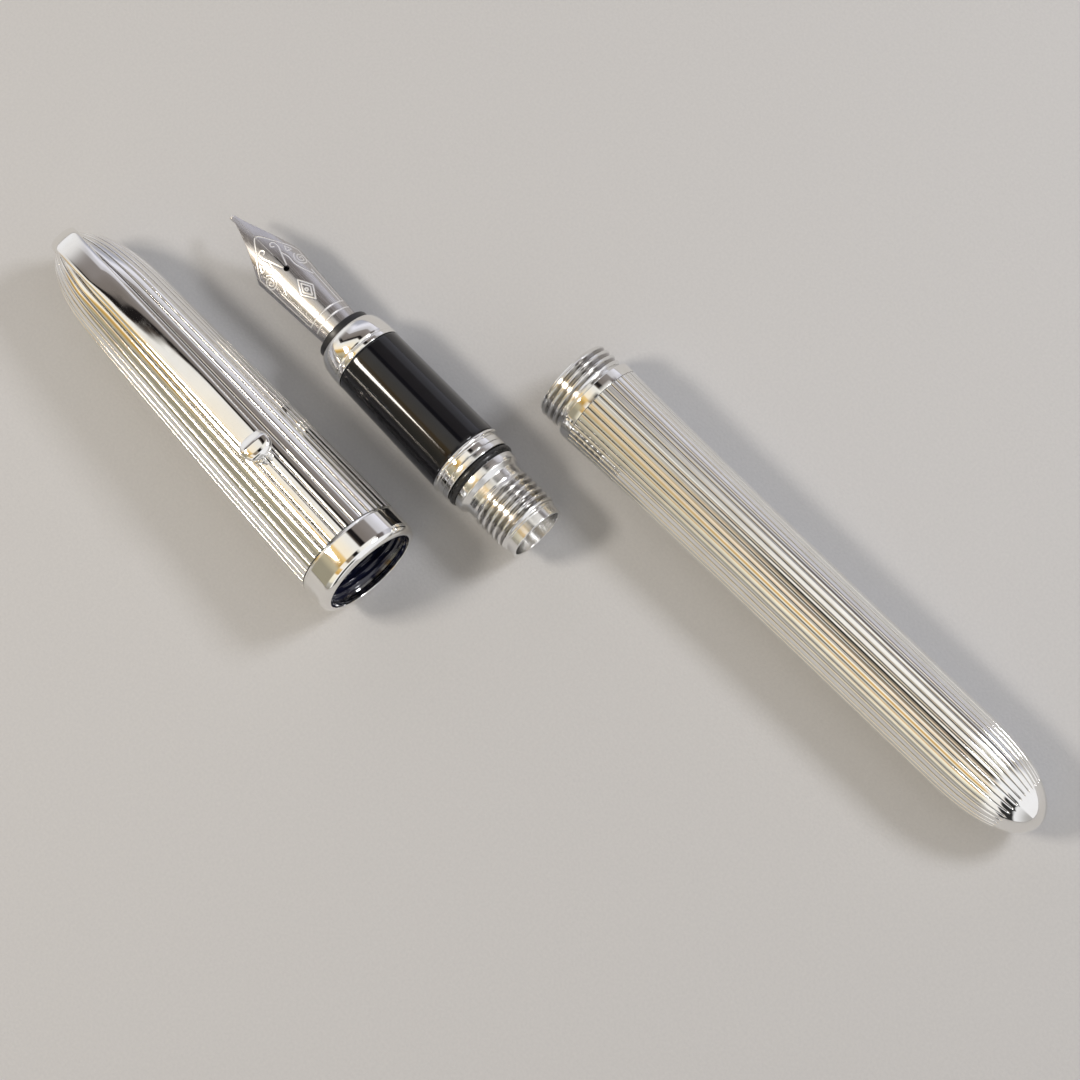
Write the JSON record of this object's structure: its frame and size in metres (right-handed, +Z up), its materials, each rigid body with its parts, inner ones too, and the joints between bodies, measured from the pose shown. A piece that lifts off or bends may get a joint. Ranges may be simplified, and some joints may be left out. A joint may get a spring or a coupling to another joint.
{
  "type": "fountain pen",
  "caption": "Screw-cap fountain pen taken apart: fluted metal cap with sprung clip, grip section with nib and feed, and fluted barrel holding a piston converter.",
  "frame": {"origin": "on the table, below the middle of the laid-out group's box", "axes": "+X along the barrel from its open mouth to its domed end, +Z up from the table, +Y to the left of +X"},
  "size_m": [0.1498, 0.052, 0.0176],
  "materials": {
    "polished_silver": "mirror polished plated metal",
    "satin_silver": "turned satin metal",
    "nib_silver": "fine satin plated nib with engraved lines",
    "hard_tip": "ground hard alloy",
    "brass": "plain turned brass",
    "steel": "plain turned steel",
    "black_lacquer": "glossy black lacquer",
    "black_plastic": "moulded black plastic",
    "black_rubber": "smooth black rubber",
    "clear_plastic": "clear moulded plastic"
  },
  "bodies": {
    "barrel": {"barrel_sleeve": "polished_silver", "barrel_band": "polished_silver", "barrel_collar": "satin_silver", "barrel_liner": "brass"},
    "section": {"section_front_ring": "polished_silver", "grip_sleeve": "black_lacquer", "section_rear_ring": "polished_silver", "section_core": "satin_silver", "seal_ring": "black_rubber", "ink_spigot": "black_plastic"},
    "nib_unit": {"nib": "nib_silver", "nib_point": "hard_tip", "feed": "black_plastic", "feed_housing": "black_plastic"},
    "cap": {"cap_shell": "polished_silver", "cap_band": "polished_silver", "cap_liner": "black_plastic", "clip_screw": "steel"},
    "clip": {"clip_strap": "polished_silver", "clip_ball": "polished_silver"},
    "converter": {"converter_mouth": "black_plastic", "converter_tube": "clear_plastic", "converter_ferrule": "satin_silver"},
    "knob": {"converter_knob": "black_plastic", "drive_bush": "brass"},
    "piston": {"piston_rod": "black_plastic", "piston_seal": "black_rubber"}
  },
  "joints": [
    {"name": "section_draw", "type": "slide", "parent": "barrel", "child": "section", "axis": [-0.9996, 0.0253, -0.0127], "range_m": [0, 0.012]},
    {"name": "nib_unit_draw", "type": "slide", "parent": "section", "child": "nib_unit", "axis": [-0.9996, 0.0253, -0.0127], "range_m": [0, 0.015]},
    {"name": "cap_draw", "type": "slide", "parent": "barrel", "child": "cap", "axis": [-0.999, 0.0349, -0.0286], "range_m": [0, 0.06]},
    {"name": "clip_flex", "type": "hinge", "parent": "cap", "child": "clip", "pos_m": [-0.0738, -0.0158, 0.00474], "axis": [-0.0349, -0.9994, 0], "range_deg": [0, 4], "stiffness_Nm_per_rad": 0.5},
    {"name": "converter_draw", "type": "slide", "parent": "barrel", "child": "converter", "axis": [-0.9999, -0.0035, 0.0094], "range_m": [0, 0.076]},
    {"name": "piston_travel", "type": "slide", "parent": "converter", "child": "piston", "axis": [0.9999, 0.0035, -0.0094], "range_m": [0, 0.017]},
    {"name": "knob_turn", "type": "hinge", "parent": "converter", "child": "knob", "pos_m": [0.05709, 0.01975, 0.00517], "axis": [0.9999, 0.0035, -0.0094], "range_deg": [0, 1530]}
  ],
  "couplings": [
    {"joint": "knob_turn", "follows": "piston_travel", "rad_per_m": 1570.8}
  ]
}
